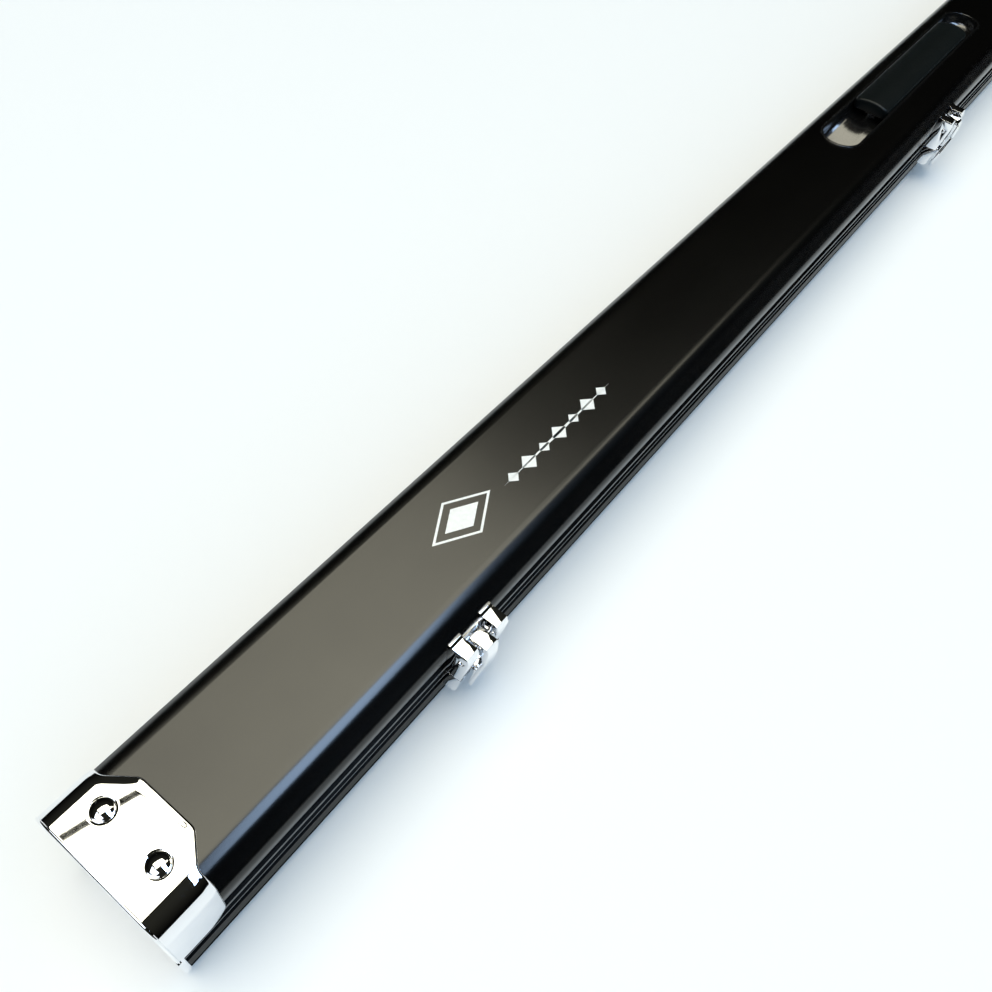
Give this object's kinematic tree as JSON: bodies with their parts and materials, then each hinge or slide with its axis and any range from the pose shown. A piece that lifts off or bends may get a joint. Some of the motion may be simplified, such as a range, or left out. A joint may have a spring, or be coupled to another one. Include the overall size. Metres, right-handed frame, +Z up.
{
  "type": "cue case",
  "caption": "Long slim hard case for a one-piece cue: hinged aluminium halves, sprung side latches, chromed end caps and a lift-up handle in the lid.",
  "frame": {"origin": "under the middle of the whole case, on the surface that its flat underside lies on", "axes": "+X along the case towards its right end, +Y from the latches to the hinge, +Z up through the lid"},
  "size_m": [1.5, 0.0864, 0.071],
  "materials": {
    "black_aluminium": "satin black anodised",
    "chrome": "bright chrome plate",
    "bright_steel": "bright nickel plate",
    "hinge_steel": "satin nickel plate",
    "spring_steel": "drawn wire",
    "tray_metal": "gloss black pressing",
    "grip_plastic": "fine moulded grain",
    "liner_foam": "black flocked foam"
  },
  "bodies": {
    "base": {"base_shell": "black_aluminium", "base_liner": "liner_foam", "base_end_cap_left": "chrome", "base_end_cap_right": "chrome", "catch_rivets": "bright_steel", "hinge_leaf_base": "hinge_steel", "hinge_pin": "bright_steel", "hinge_rivets_base": "bright_steel", "latch_catch_left": "chrome", "latch_catch_middle": "chrome", "latch_catch_right": "chrome"},
    "lid": {"lid_shell": "black_aluminium", "lid_liner": "liner_foam", "lid_end_cap_left": "chrome", "lid_end_cap_right": "chrome", "cap_rivets": "chrome", "bracket_rivets": "bright_steel", "hinge_leaf_lid": "hinge_steel", "hinge_rivets_lid": "bright_steel", "handle_tray": "tray_metal", "handle_bushes": "bright_steel", "latch_bracket_left": "chrome", "latch_bracket_middle": "chrome", "latch_bracket_right": "chrome", "latch_pin_left": "bright_steel", "latch_pin_middle": "bright_steel", "latch_pin_right": "bright_steel"},
    "handle": {"handle_grip": "grip_plastic", "handle_leg_left": "bright_steel", "handle_leg_right": "bright_steel", "handle_clips": "bright_steel"},
    "latch_left": {"latch_lever_left": "chrome", "latch_spring_left": "spring_steel"},
    "latch_middle": {"latch_lever_middle": "chrome", "latch_spring_middle": "spring_steel"},
    "latch_right": {"latch_lever_right": "chrome", "latch_spring_right": "spring_steel"}
  },
  "joints": [
    {"name": "lid_hinge", "type": "hinge", "parent": "base", "child": "lid", "pos_m": [0, 0.04065, 0.029], "axis": [-1, 0, 0], "range_deg": [0, 165]},
    {"name": "handle_lift", "type": "slide", "parent": "lid", "child": "handle", "axis": [0, 0, 1], "range_m": [0, 0.02]},
    {"name": "latch_left_swing", "type": "hinge", "parent": "lid", "child": "latch_left", "pos_m": [-0.583, -0.03575, 0.045], "axis": [-1, 0, 0], "range_deg": [0, 100], "stiffness_Nm_per_rad": 0.02, "springref_deg": -34.38},
    {"name": "latch_middle_swing", "type": "hinge", "parent": "lid", "child": "latch_middle", "pos_m": [0, -0.03575, 0.045], "axis": [-1, 0, 0], "range_deg": [0, 100], "stiffness_Nm_per_rad": 0.02, "springref_deg": -34.38},
    {"name": "latch_right_swing", "type": "hinge", "parent": "lid", "child": "latch_right", "pos_m": [0.583, -0.03575, 0.045], "axis": [-1, 0, 0], "range_deg": [0, 100], "stiffness_Nm_per_rad": 0.02, "springref_deg": -34.38}
  ]
}
